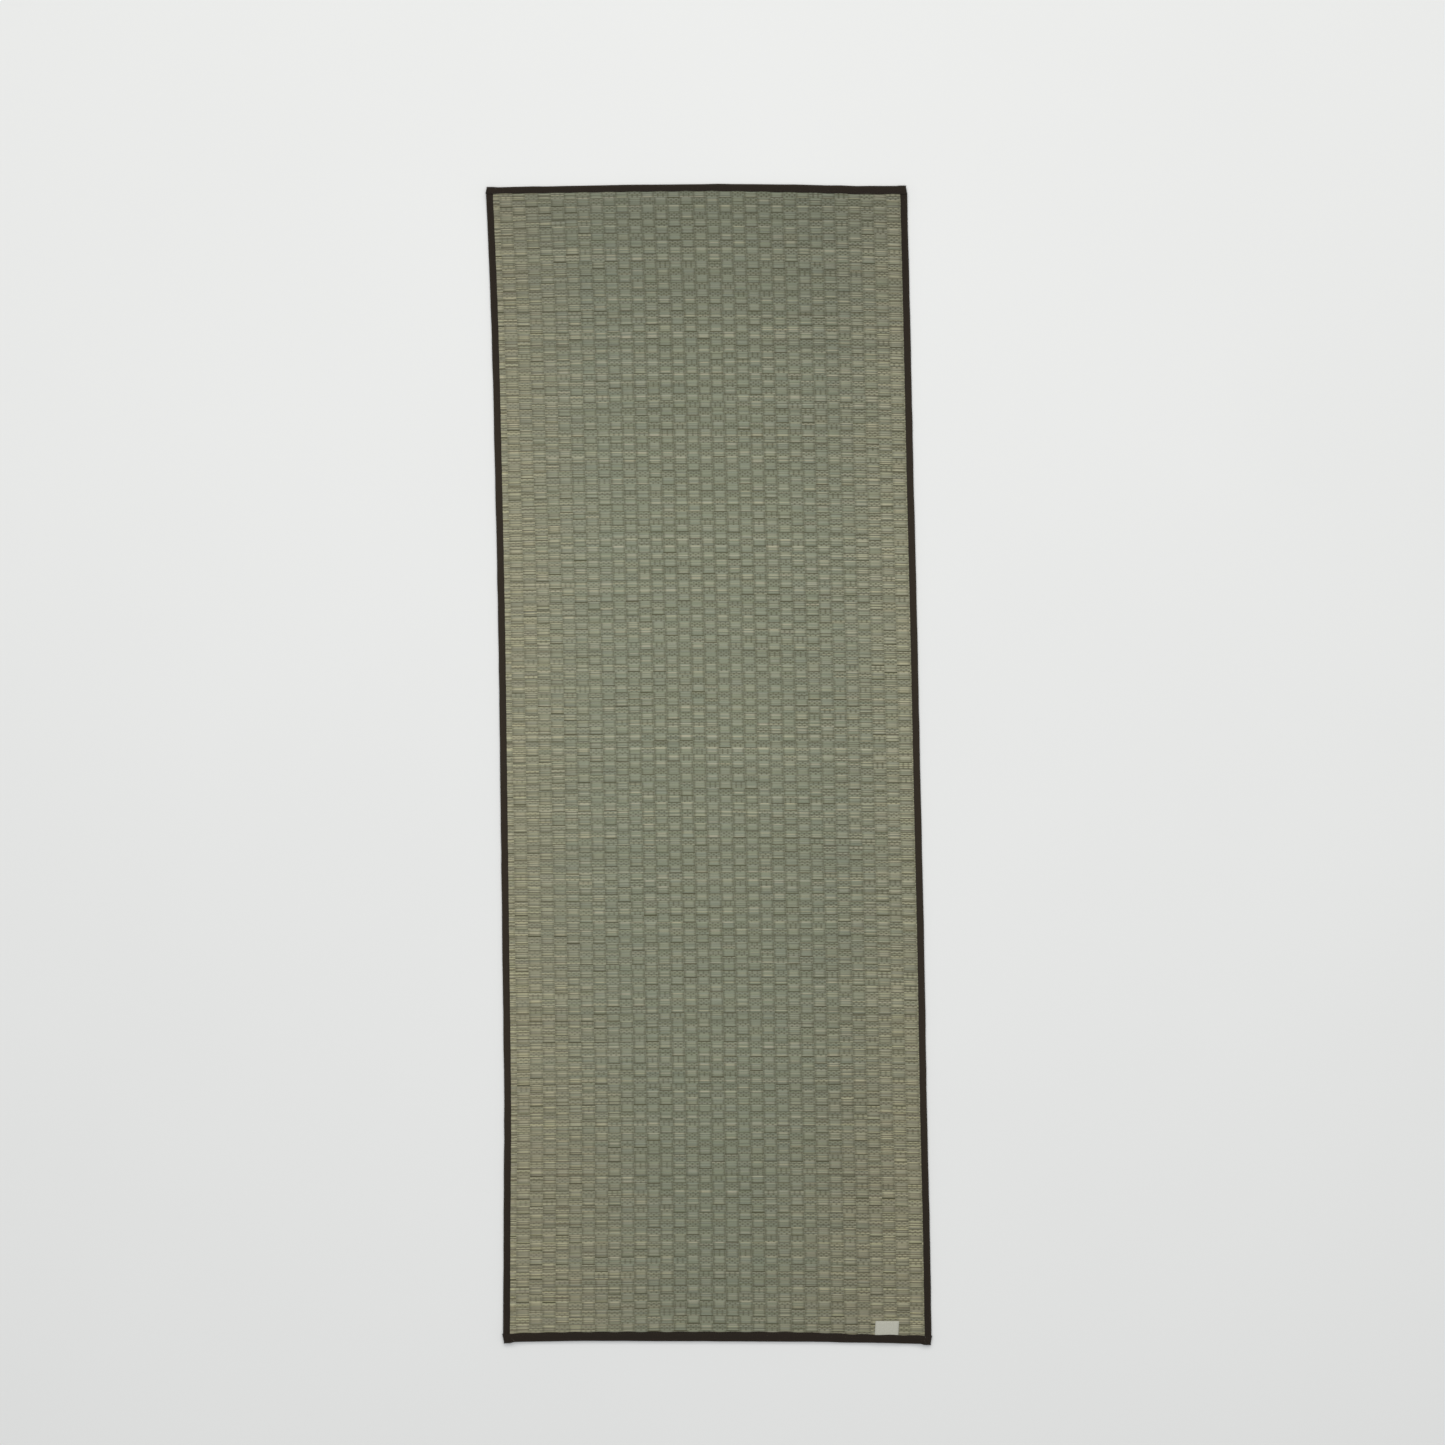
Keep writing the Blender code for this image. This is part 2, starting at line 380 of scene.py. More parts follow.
# The height of the weave's face there: floats stand up, and pips rise and dip between them
def weaveHeight(add, at, sizes):
    columnEdge = add("MapRange", [at.offColumn, 0.5, weave["floatTop"]], **smooth)
    offRow = add("ABSOLUTE", [at.fromRow])
    rowEdge = add("MapRange", [offRow, 0.5, 0.5 - 1 / weave["linesPerRow"]])
    floating = add("SUBTRACT", [1.0, at.bound])
    for factor in (columnEdge, rowEdge, sizes["Float rise"], at.filled):
        floating = add("MULTIPLY", [floating, factor])
    pips = add("MULTIPLY", [add("MULTIPLY", [at.pip, at.bound]), sizes["Pip height"]])
    # each pick is a little thicker or thinner, and changes along its length
    change = streaks(add, at.across, at.pick, weave["thickness"], 1.0)
    change = add("MapRange", [change, 0.3, 0.7, -1.0, 1.0])
    change = add("MULTIPLY_ADD", [change, sizes["Unevenness"], sizes["Pick crown"]])
    body = add("ADD", [pips, change])
    body = add("MULTIPLY", [body, add("MULTIPLY_ADD", [at.bound, 0.5, 0.5])])
    body = add("MULTIPLY_ADD", [body, at.crown, floating])
    # between rows the picks stand apart here and there
    parting = add("SUBTRACT", [1.0, rowEdge])
    for factor in (rowParting(add, at), weave["gapDepth"], sizes["Groove"]):
        parting = add("MULTIPLY", [parting, factor])
    return add("SUBTRACT", [body, parting])


# Geometry Nodes: raises the relief on a grid that carries column and row numbers
def makeWeaveTree():
    tree, add = newTree("Rush weave", {**{size: "Float" for size in weave["relief"]}, "Rush": "Material"})
    given = add("NodeGroupInput", output=None).outputs
    place = add("GeometryNodeInputNamedAttribute", {"Name": "weave"}, data_type="FLOAT_VECTOR")
    press = add("GeometryNodeInputNamedAttribute", {"Name": "press"}, data_type="FLOAT")
    height = add("MULTIPLY", [weaveHeight(add, weavePosition(add, place), given), press])
    offset = add("CombineXYZ", {"Z": height})
    face = add("GeometryNodeSetPosition", {"Geometry": given["Geometry"], "Offset": offset})
    face = add("GeometryNodeRealizeInstances", {"Geometry": face})
    face = add("GeometryNodeSetMaterial", {"Geometry": face, "Material": given["Rush"]})
    add("NodeGroupOutput", [face], output=None)
    return tree


def makeWeaveFaces(rush):
    columns = np.arange(weave["firstLine"][0], weave["lastLine"][0] + 1) / weave["linesPerColumn"]
    rows = np.arange(weave["firstLine"][1], weave["lastLine"][1] + 1) / weave["linesPerRow"] - 0.5
    column, row = np.meshgrid(columns, rows)
    # the hand of the weaver: no pick, row or column runs quite true
    picks = weave["picksPerRow"]
    counted = ((column, row * picks + 0.5), (column, row), (column + 0.5, row))
    pickShift, rowShift, columnShift = (
        unevenness(weave["seed"] + k, *counted[k], *steps) * size
        for k, (size, *steps) in enumerate(weave["wander"])
    )
    pickShift = pickShift / picks * (1 - weave["rowGrip"] * (2 * abs(row - np.round(row))) ** 2)
    x, y = weavePlace(column + columnShift, row + pickShift + rowShift)
    fromTape = sideDistance(x, y) - outline["sideTape"] * mm
    fromTape = np.minimum(fromTape, endAt("far", x) - endAt("farWidth", x) - y)
    fromTape = np.minimum(fromTape, y - endAt("near", x) - endAt("nearWidth", x))
    press = softStep(fromTape / (weave["pressRun"] * mm) + weave["pressStart"])
    beside = abs(x / mm - label["left"] - label["width"] / 2) - label["width"] / 2
    underLabel = np.maximum(beside, y / mm - label["top"])
    kept = weave["keptUnderLabel"]
    press = press * (kept + (1 - kept) * softStep(underLabel / weave["pressRun"] + 0.5))
    points = np.stack([x, y, clothTop(x, y)], axis=-1)
    numbers = np.stack([column, row], axis=-1)
    tree = makeWeaveTree()
    cuts = np.linspace(0, weave["columnsAcross"], weave["pieces"] + 1)[1:-1] + weave["firstColumn"]
    cuts = [np.argmin(abs(columns - (math.floor(cut) + 0.5))) for cut in cuts]
    cuts = [0, *cuts, len(columns) - 1]
    faces = []
    for k in range(weave["pieces"]):
        part = slice(cuts[k], cuts[k + 1] + 1)
        folded = foldedMap(points.shape[0] - 1, cuts[k + 1] - cuts[k])
        maps = {"weave": numbers[:, part], "OFBake": folded}
        piece = gridPiece(f"rushWeave{k + 1}", points[:, part], maps)
        pressed = piece.data.attributes.new("press", "FLOAT", "POINT")
        pressed.data.foreach_set("value", press[:, part].ravel())
        settle(piece, tree, {**{size: value * mm for size, value in weave["relief"].items()}, "Rush": rush})
        piece.data.attributes.remove(piece.data.attributes["press"])
        faces.append(piece)
        print("Woven", piece.name, "with", len(piece.data.polygons), "faces")
    return faces


# A long strip's baking map: its length in several stretches side by side, so that it fills the square
def foldedMap(down, across):
    stretch = math.ceil(down / weave["folds"])
    i, j = np.meshgrid(np.arange(down), np.arange(across), indexing="ij")
    fold = i // stretch
    corners = ((0, 0), (1, 0), (1, 1), (0, 1))   # the order of a face's corners in gridPiece
    margin = 0.01
    filled = 1 - 2 * margin
    u = [(fold + margin + filled * (j + dj) / across) / weave["folds"] for _, dj in corners]
    v = [1 - margin - filled * (i - fold * stretch + di) / stretch for di, _ in corners]
    return np.stack([np.stack(u, axis=-1), np.stack(v, axis=-1)], axis=-1).reshape(-1, 2)


# Igusa rush, cut green, dried and woven dry on a dark cotton warp. Drying leaves each stem its own
# grey-green or straw tone, the butt ends at the mat's sides are the yellowest, and the skin keeps a
# faint waxy shine. A stem is 1.4 mm wide. Its fibres, 0.2 mm in life, are drawn 0.6 mm wide to show.
rushFinish = {
    # a stem's tone, from the dullest to the palest, in the middle of the mat and near its sides
    "green": ((0.10, "#6c6c58"), (0.36, "#7d806c"), (0.52, "#848872"), (0.68, "#8c8f79"), (0.98, "#a5a288")),
    "straw": ((0.10, "#746e58"), (0.36, "#86826b"), (0.52, "#8f8b72"), (0.68, "#989379"), (0.98, "#b1ad8a")),
    # four numbers are a Map Range: from, to, and what comes out at each
    "ownTone": 0.34,             # how much a stem's tone differs from its neighbours'
    "slowTone": 0.45,            # how much it changes along the stem
    "slowWaves": (0.13, 3.7),    # how fast: waves in a column, and from stem to stem
    "turnedTone": 0.16,          # and how much in each block, as it turns another side up
    "unlike": (0.0, 1.0, 0.30, 1.10),      # how much a pick's two stems differ, more towards the sides
    "paleStems": (0.84, 1.0, 0.0, 0.60),   # the palest sixth, and by how much
    "paleLeast": 0.3,            # the share of that which every block shows
    "paleBound": 0.6,            # and the share that a bound block hides
    "stemRed": (0.0, 1.0, 0.970, 1.030),   # how red or green one stem is beside the next
    "stemBlue": (0.0, 1.0, 0.945, 1.055),  # and how blue or yellow
    "fibres": (1.6, 18.0),       # waves in a column and in a row
    "fibreTone": (0.25, 0.75, 0.93, 1.07),
    "shadeAndWarp": "#4c4a31",         # the brown of the warp, and the painted shade between the rushes
    "nearPart": (0.58, 1.0, 0.0, 1.0),     # where along the mat the near end's ways set in
    "strawReach": (0.0, 1.0, 3.4, 13.0),   # columns in from the sides, more at the near end
    "strawLuck": (0.0, 1.0, 0.3, 1.0),     # the share of that which each stem has
    "strawLag": 2.0,             # and this many fewer on the right at the far end
    "strawBlend": (-7.0, 7.0, 0.0, 1.0),   # columns over which it gives way to green
    # how light the mat is from its far end to its near one, a painted broad sheen lightest in the middle of
    # its length, and from its left side to its right one, and how much painted shade the bound blocks take
    # there: thick stem ends fill them at the sides, and stand out
    "lengthSheen": ((0.0, 0.766), (0.14, 0.885), (0.28, 1.018), (0.38, 1.010), (0.50, 1.032), (0.61, 0.992),
                   (0.76, 0.938), (1.0, 0.880)),
    "acrossTone": ((0.0, 0.970), (0.10, 0.953), (0.31, 0.978), (0.44, 1.0), (0.56, 0.995), (0.70, 0.968),
                   (0.83, 0.922), (1.0, 0.940)),
    "boundEase": ((0.0, 0.30), (0.18, 0.44), (0.42, 1.0), (0.68, 1.0), (0.85, 0.93), (1.0, 0.84)),
    "boundFade": (0.0, 1.0, 1.14, 0.86),   # and how that changes from the far end to the near one
    "endLift": 0.03,             # how much lighter the near end's corners are than all that
    "inward": 0.085,             # how much painted light a float at the sides takes on its inner half, and painted shade on its outer one
    # how far towards that brown each place goes: painted shade in the hollows, and the warp where it shows
    "ragged": 0.045,             # columns that a stem dives before its neighbours or after
    "floatSide": (0.315, 0.51, 0.0, 0.55),  # where the rushes dive at the sides of a float
    "pickGap": (0.0, 0.5, 1.0, 0.0),       # how far from its crown a pick dives to the next
    "valley": 0.05,              # between the picks of a float
    "boundBase": 0.225,          # in a bound block
    "boundValley": 0.20,         # and this more between its picks
    "columnShade": (0.44, 0.50, 0.0, 0.14),  # this painted shade along its sides, where the warps go down
    "warpLine": 0.20,            # this along each of its warps
    "tick": (-0.30, -0.90, 0.0, 0.20),     # this where a warp crosses over the rushes
    "pip": (0.0, 0.9, 0.0, -0.25),         # and less this on its pips: a painted highlight
    "bolder": 2.5,               # how much bolder pips are at the sides than in the middle
    "pipTop": (0.1, 0.7, 0.0, 1.0),        # how wide they are on the round of their pick
    "pipLuck": (1.4, 0.3),       # times this much luck from 0 to 1, and this more
    "stemShade": (0.0, 0.5, 0.08, 0.0),     # painted shade between the two stems of a pick
    "parting": (0.0, 1.0, 0.50, 1.0),      # under a float, where rows touch and where they part
    "shadowAbove": (0.44, 0.48, 0.0, 1.0),    # rows from its middle where that begins
    "shadowBelow": (-0.43, -0.38, 1.0, 0.0),  # and where the next block comes out of it
    "roughness": (0.2, 0.9, 0.72, 0.56),   # of a dull stem and of a pale one
    "stemHeight": 0.22,          # of a stem's round in mm, and of its fibres in stems
    "fibreHeight": 0.35,
}


def makeRush(name, reliefInBump):
    material, surface, add = newMaterial(name)
    at = weavePosition(add, add("UVMap", uv_map="weave"))
    across = add("DIVIDE", [at.columns, weave["columnsAcross"]])
    along = add("DIVIDE", [at.down, weave["rowsInAll"]])
    # which stem it is, and where across the stem
    stemCount = add("MULTIPLY", [at.pickCount, weave["stemsPerPick"]])
    stem = add("FLOOR", [stemCount])
    inStem = add("SUBTRACT", [stemCount, stem])
    dice = add("TexWhiteNoise", {"W": stem}, output=1, noise_dimensions="1D")
    dice = add("SeparateColor", [dice], output=None).outputs
    blockDice = add("CombineXYZ", [at.column, stem])
    blockDice = add("TexWhiteNoise", {"Vector": blockDice}, output=1, **ofPair)
    blockDice = add("SeparateColor", [blockDice], output=None).outputs
    # the stem's tone: slow changes along it, its own, its turn in each block, and unlike its pair's
    slow = streaks(add, at.across, stem, rushFinish["slowWaves"], 2.0)
    pair = add("TexWhiteNoise", {"Vector": add("CombineXYZ", [at.column, at.pick])}, **ofPair)
    other = add("MULTIPLY_ADD", [add("PINGPONG", [stem, 1.0]), 2.0, -1.0])
    unlike = add("MapRange", [at.thick, *rushFinish["unlike"]])
    unlike = add("MULTIPLY", [unlike, other])
    tone = 0.5
    for part, size in (
        (slow, rushFinish["slowTone"]), (dice[0], rushFinish["ownTone"]),
        (blockDice[1], rushFinish["turnedTone"]), (pair, unlike),
    ):
        part = add("ADD", [part, -0.5])
        tone = add("MULTIPLY_ADD", [part, size, tone])
    # a pale one comes to the top in some blocks and hides in others, and hardly shows in a bound one
    pale = add("MapRange", [dice[2], *rushFinish["paleStems"]])
    paleHere = add("MULTIPLY_ADD", [at.bound, -rushFinish["paleBound"], 1.0])
    paleHere = add("MULTIPLY", [paleHere, add("ADD", [blockDice[0], rushFinish["paleLeast"]])])
    tone = add("MULTIPLY_ADD", [pale, paleHere, tone])
    # its shades, and how the whole mat lightens and darkens along and across: along it, a painted broad
    # sheen
    curves = []
    for place, table in (
        (tone, "green"), (tone, "straw"), (along, "lengthSheen"),
        (across, "acrossTone"), (across, "boundEase"),
    ):
        ramp = add("ValToRGB", [place], output=None)
        points = ramp.color_ramp.elements
        while len(points) < len(rushFinish[table]):
            points.new(0.5)
        for point, (stop, shade) in zip(points, rushFinish[table]):
            point.position = stop
            point.color = toLinear(shade) if table in ("green", "straw") else (shade, shade, shade, 1.0)
        curves.append(ramp.outputs[0])
    green, yellow, lengthSheen, acrossTone, boundEase = curves
    # straw reaches in from the sides by a different length on each stem, further near the near end
    nearness = add("MapRange", [along, *rushFinish["nearPart"]], **smooth)
    farSide = add("SUBTRACT", [weave["columnsAcross"] + rushFinish["strawLag"], at.columns])
    farSide = add("MULTIPLY_ADD", [nearness, -rushFinish["strawLag"], farSide])
    fromSide = add("MINIMUM", [at.columns, farSide])
    reach = add("MapRange", [nearness, *rushFinish["strawReach"]])
    reach = add("MULTIPLY", [reach, add("MapRange", [dice[1], *rushFinish["strawLuck"]])])
    inside = add("SUBTRACT", [reach, fromSide])
    straw = add("MapRange", [inside, *rushFinish["strawBlend"]], **smooth)
    colour = add("Mix", {0: straw, 6: green, 7: yellow}, **inColour)
    # painted light and shade: a float at the sides is lighter on its inner half and darker on its outer one,
    # as stems that thin towards their tips would stand it highest there
    paintedTilt = add("MULTIPLY", [at.aside, at.fromColumn])
    paintedTilt = add("MULTIPLY_ADD", [paintedTilt, -2 * rushFinish["inward"], 1.0])
    paintedTilt = add("Mix", {0: at.bound, 2: paintedTilt, 3: 1.0})
    corner = add("MULTIPLY", [at.thick, nearness])
    corner = add("MULTIPLY_ADD", [corner, rushFinish["endLift"], 1.0])
    fibre = streaks(add, at.across, at.down, rushFinish["fibres"], 2.0)
    light = add("MapRange", [fibre, *rushFinish["fibreTone"]])
    for factor in (lengthSheen, acrossTone, corner, paintedTilt):
        light = add("MULTIPLY", [light, factor])
    # painted shade in the hollows: a float darkens where it dives at its sides, and between its picks
    ragged = add("MULTIPLY_ADD", [blockDice[1], 2 * rushFinish["ragged"], at.offColumn])
    floatShade = add("MapRange", [ragged, *rushFinish["floatSide"]], **smooth)
    floatShade = add("MULTIPLY", [floatShade, at.filled])
    between = add("MapRange", [at.crown, *rushFinish["pickGap"]])
    floatShade = add("MULTIPLY_ADD", [between, rushFinish["valley"], floatShade])
    # a bound block takes painted shade all over, as if sunk, and the warp's brown where it crosses, but for
    # its pips, which differ in how far they stand up
    warp = add("ROUND", [add("MULTIPLY", [at.across, weave["warpsPerColumn"]])])
    pipFace = add("TexWhiteNoise", {"Vector": add("CombineXYZ", [warp, stem])}, **ofPair)
    pipFace = add("MULTIPLY_ADD", [pipFace, *rushFinish["pipLuck"]])
    pipFace = add("MULTIPLY", [pipFace, add("MapRange", [at.crown, *rushFinish["pipTop"]])])
    pip = add("MapRange", [at.pip, *rushFinish["pip"]], **smooth)
    tick = add("MapRange", [at.pip, *rushFinish["tick"]])
    bold = add("MULTIPLY_ADD", [at.thick, rushFinish["bolder"], 1.0])
    dots = add("MULTIPLY_ADD", [pip, bold, tick])
    boundShadeAndWarp = add("MapRange", [at.offColumn, *rushFinish["columnShade"]])
    warpLine = add("MULTIPLY", [at.pip, at.pip])
    sunkShade = add("MULTIPLY_ADD", [warpLine, rushFinish["warpLine"], rushFinish["boundBase"]])
    ease = add("MULTIPLY", [add("MapRange", [along, *rushFinish["boundFade"]]), boundEase])
    for part, size in ((ease, sunkShade), (dots, pipFace), (between, rushFinish["boundValley"])):
        boundShadeAndWarp = add("MULTIPLY_ADD", [part, size, boundShadeAndWarp])
    # painted shade and the warp's brown together, for floats and bound blocks
    shadeAndWarp = add("Mix", {0: at.bound, 2: floatShade, 3: boundShadeAndWarp})
    stemRound = add("SINE", [add("MULTIPLY", [inStem, math.pi])])
    # painted shade in the groove between a pick's two stems
    shadeAndWarp = add("ADD", [shadeAndWarp, add("MapRange", [stemRound, *rushFinish["stemShade"]])])
    # rows part here and there: a painted shadow, a dark bar where a float ends and a bound block begins
    gapShadow = add("MapRange", [rowParting(add, at), *rushFinish["parting"]])
    shadowAbove = add("MapRange", [at.fromRow, *rushFinish["shadowAbove"]])
    shadowBelow = add("MapRange", [at.fromRow, *rushFinish["shadowBelow"]])
    shadowBar = add("MULTIPLY", [add("Mix", {0: at.bound, 2: shadowAbove, 3: shadowBelow}), gapShadow])
    shadeAndWarp = add("MINIMUM", [add("MAXIMUM", [shadeAndWarp, shadowBar]), 1.0])
    # below 0 the painted shade comes out lighter than the stem: a painted shine on the boldest pips
    brown = toLinear(rushFinish["shadeAndWarp"])
    colour = add("Mix", {0: shadeAndWarp, 6: colour, 7: brown}, clamp_factor=False, **inColour)
    red = add("MapRange", [blockDice[1], *rushFinish["stemRed"]])
    blue = add("MapRange", [blockDice[2], *rushFinish["stemBlue"]])
    tint = add("CombineXYZ", [red, 1.0, blue])
    colour = add("VectorMath", [colour, tint], operation="MULTIPLY")
    colour = add("VectorMath", {0: colour, "Scale": light}, operation="SCALE")
    # in bump: the stems and their fibres, and on the back of the mat the weave itself
    fine = add("MULTIPLY_ADD", [fibre, rushFinish["fibreHeight"], stemRound])
    bump = add("Bump", {"Strength": 0.40, "Distance": rushFinish["stemHeight"] * mm, "Height": fine})
    if reliefInBump:
        relief = weaveHeight(add, at, weave["relief"])
        bump = add("Bump", {"Distance": mm, "Height": relief, "Normal": bump})
    # waxy skin: a paler stem is a smoother one
    gloss = add("MapRange", [tone, *rushFinish["roughness"]])
    setInputs(surface, {
        "Base Color": colour, "Roughness": gloss, "Specular IOR Level": 0.35, "Normal": bump,
    })
    return material


# The cloth under the relief: one closed sheet, flat on the floor, its rim inside the tapes
rushCloth = {
    "rimInset": 2.9,
    "underRelief": 1.0,    # its top lies this far under the weave's face
    "edgeLines": (0, 5, 11.5, 16.5, 25, 34, 43),
    "linesAcross": 8,
    "linesAlong": 30,
}


def edgedLines(edgeLines, middleCount):
    start = [(0.0, line) for line in edgeLines]
    shares = [(i + 1) / (middleCount + 1) for i in range(middleCount)]
    middle = [(share, start[-1][1] * (1 - 2 * share)) for share in shares]
    both = start + middle + [(1.0, -offset) for _, offset in reversed(start)]
    return np.array(both)


# The places of grid lines between two edges, given as arrays that share a shape with the lines
def onLines(low, high, lines):
    return low + (high - low) * lines[0] + lines[1] * mm


def thicken(piece, thickness, side):
    shell = piece.modifiers.new("Thickness", "SOLIDIFY")
    shell.thickness = thickness
    shell.offset = side
    shell.use_even_offset = True
    return settle(piece)


def makeRushCloth(rush):
    inset = rushCloth["rimInset"] * mm
    across = edgedLines(rushCloth["edgeLines"], rushCloth["linesAcross"])
    along = edgedLines(rushCloth["edgeLines"], rushCloth["linesAlong"])[::-1]
    acrossLines = np.array([np.tile(across[:, k], (len(along), 1)) for k in (0, 1)])
    alongLines = np.array([np.tile(along[:, k], (len(across), 1)).T for k in (0, 1)])
    x = np.zeros(acrossLines.shape[1:])
    y = np.zeros_like(x)
    for _ in range(3):
        y = onLines(endAt("near", x) + inset, endAt("far", x) - inset, alongLines)
        x = onLines(sideAt("left", y) + inset, sideAt("right", y) - inset, acrossLines)
    underside = clothTop(x, y) - outline["cloth"] * mm
    column, row = weaveNumber(x, y)
    numbers = np.stack([column + 1, row], axis=-1)   # a float above is a bound block below
    piece = gridPiece("rushCloth", np.stack([x, y, underside], axis=-1), {"weave": numbers})
    piece.data.materials.append(rush)
    return thicken(piece, (outline["cloth"] - rushCloth["underRelief"]) * mm, 1)


# The binding: cotton tape folded round each edge and sewn down near its inner edge
tape = {
    "foldReach": 2.5,        # how far in the fold's round goes, in mm
    "foldSteps": 8,
    "seamInset": 1.6,        # the seam's distance from the tape's inner edge
    "seamDip": 0.22,         # how deep it pulls the tape in
    # the tape's top from the fold inwards: distances in seam insets, depths in seam dips
    "seamShape": ((2.2, 0.0), (1.4, 0.35), (1.0, 1.0), (0.5, 0.4), (0.0, 0.1)),
    "stepEnd": 12.4,         # the end tapes step up over the side tapes this far in
    "stepRun": 6.0,
    "overhang": 0.9,         # and stand out past them
    "endRound": 1.3,         # the end tapes' ends are turned in over this length
    "endLeft": 0.12,         # and have this share of their height left there
    "nearBelly": 1.5,        # how far they belly out at their ends
    "farBelly": 0.5,
    "bellyLength": 13.0,     # over this length, and with this long a start
    "bellyRun": 3.0,
    "slantRun": 14.0,        # their ends slant in with the mat's sides over this length
    "scallop": 0.5,          # how far their inner edges rise and fall with the columns
    "sideScallop": 0.16,     # and those of the side tapes with the rows
    "wander": 0.28,          # how far the outer edges are from true
    "wanderSide": (0.028, 10.0),   # metres of a side to a bend, and more than the mat's length
    "wanderEnd": (0.024, 10.0),    # and of an end
    "edgeLines": (0, 0.5, 1.1, 2, 3.5, 6.5, 10, 13.3, 15.3, 17.3, 19.3, 25, 31, 37, 43),
    "linesAlongSide": 120,
    "linesAlongEnd": 76,
    "seed": 5,
}


# Points round the outside of a folded tape, from under its inner edge to above it: how far in, and how high
def tapeSection(width, height):
    reach = tape["foldReach"] * mm
    inward = [width, (width + reach) / 2]
    up = [0 * height, 0 * height]
    for turn in np.linspace(0, math.pi, tape["foldSteps"] + 1):
        inward.append(reach * (1 - math.sin(turn)) + 0 * width)
        up.append(height / 2 * (1 - math.cos(turn)))
    for back, drop in tape["seamShape"]:
        inward.append(width - back * tape["seamInset"] * mm)
        up.append(height - drop * tape["seamDip"] * mm)
    return np.stack(inward, axis=-1), np.stack(up, axis=-1)


# A tape's own map: u along it and v round it, from 0 at the outermost line of its fold, in metres
def tapeMap(points):
    along, around = (
        np.cumsum(np.linalg.norm(np.diff(points, axis=k, prepend=points.take([0], k)), axis=-1), axis=k)
        for k in (0, 1)
    )
    middle = [2 + tape["foldSteps"] // 2]
    return np.stack([along[:, middle] + 0 * around, around - around[:, middle]], axis=-1)


def makeTape(name, points, inward, cotton):
    # gridPiece faces up where lines run down the mat, so the grid is turned to face outwards
    piece = gridPiece(name, points[:, ::inward], {"tape": tapeMap(points)[:, ::inward]})
    piece.data.materials.append(cotton)
    print("Bound", name)
    return thicken(piece, outline["tape"] * mm, -1)


# How far a tape's outer side stands out, round its fold, where its edge is out by so much
def roundFold(reach, out):
    steps = tape["foldSteps"] + 1
    bulge = np.zeros_like(reach)
    bulge[:, 2 : 2 + steps] = out[:, None] * np.sin(np.linspace(0, math.pi, steps))
    return reach + bulge


def makeSideTape(side, cotton):
    inward = 1 if side == "left" else -1
    inset = rushCloth["rimInset"] * mm
    along = edgedLines(tape["edgeLines"][4:], tape["linesAlongSide"])[::-1].T
    x = np.zeros(along.shape[1])
    y = np.zeros_like(x)
    for _ in range(3):
        y = onLines(endAt("near", x) + inset, endAt("far", x) - inset, along)
        x = sideAt(side, y)
    row = weaveNumber(x, y)[1]
    width = (outline["sideTape"] + tape["sideScallop"] * np.cos(math.pi * row / 2)) * mm
    reach, up = tapeSection(width, foldedHeight * mm + 0 * x)
    wander = unevenness(tape["seed"] + inward, y, y, *tape["wanderSide"]) * tape["wander"] * mm
    across = x[:, None] + inward * roundFold(reach, wander)
    points = np.stack([across, y[:, None] + 0 * reach, up + liftAtEnd(x, y)[:, None]], axis=-1)
    return makeTape(side + "Tape", points, inward, cotton), points[:, -3]


# Outer height of an end tape: over the cloth, over the side tapes and over the label
def endTapeHeight(end, x, y):
    height = foldedHeight + liftAtSide(x, y) / mm
    stepOver = tape["stepEnd"] + tape["stepRun"] - sideDistance(x, y) / mm
    height = height + tapeLayer * softStep(stepOver / tape["stepRun"])
    if end == "near":
        left, width = label["left"], label["width"]
        outside = np.maximum(left - x / mm, x / mm - left - width) - label["riseRun"] / 2
        height = height + (outline["label"] + outline["space"]) * softStep(1 - outside / label["riseRun"])
    return height * mm


def makeEndTape(end, cotton):
    inward = 1 if end == "near" else -1
    across = edgedLines(tape["edgeLines"], tape["linesAlongEnd"]).T
    overhang = tape["overhang"] * mm
    x = np.zeros(across.shape[1])
    y = endAt(end, x)
    for _ in range(3):
        x = onLines(sideAt("left", y) - overhang, sideAt("right", y) + overhang, across)
        y = endAt(end, x)
    column = weaveNumber(x, y)[0]
    width = endAt(end + "Width", x) + inward * tape["scallop"] * mm * np.cos(math.pi * column)
    fromEnd = np.minimum(x - x[0], x[-1] - x) / mm
    reach, up = tapeSection(width, endTapeHeight(end, x, y))
    wander = unevenness(tape["seed"] + 7 * inward + 20, x, x, *tape["wanderEnd"]) * tape["wander"]
    bellied = tape[end + "Belly"] * softStep((tape["bellyLength"] - fromEnd) / tape["bellyRun"] + 0.5)
    # the ends are turned in
    middle = up.mean(axis=1, keepdims=True)
    closing = np.sqrt(np.clip(fromEnd / tape["endRound"], 0.0, 1.0))[:, None]
    up = middle + (up - middle) * (tape["endLeft"] + (1 - tape["endLeft"]) * closing)
    along = y[:, None] + inward * roundFold(reach, (wander - bellied) * mm)
    # near the outer corner the ends slant in, as the side edges do
    slantIn = np.where(x < 0, 1, -1)[:, None] * (sideAt("left", along) - sideAt("left", y[:, None]))
    slantIn = slantIn * softStep(1 - fromEnd / tape["slantRun"])[:, None]
    points = np.stack([x[:, None] + slantIn, along, up], axis=-1)
    return makeTape(end + "Tape", points, inward, cotton), points[:, -3]


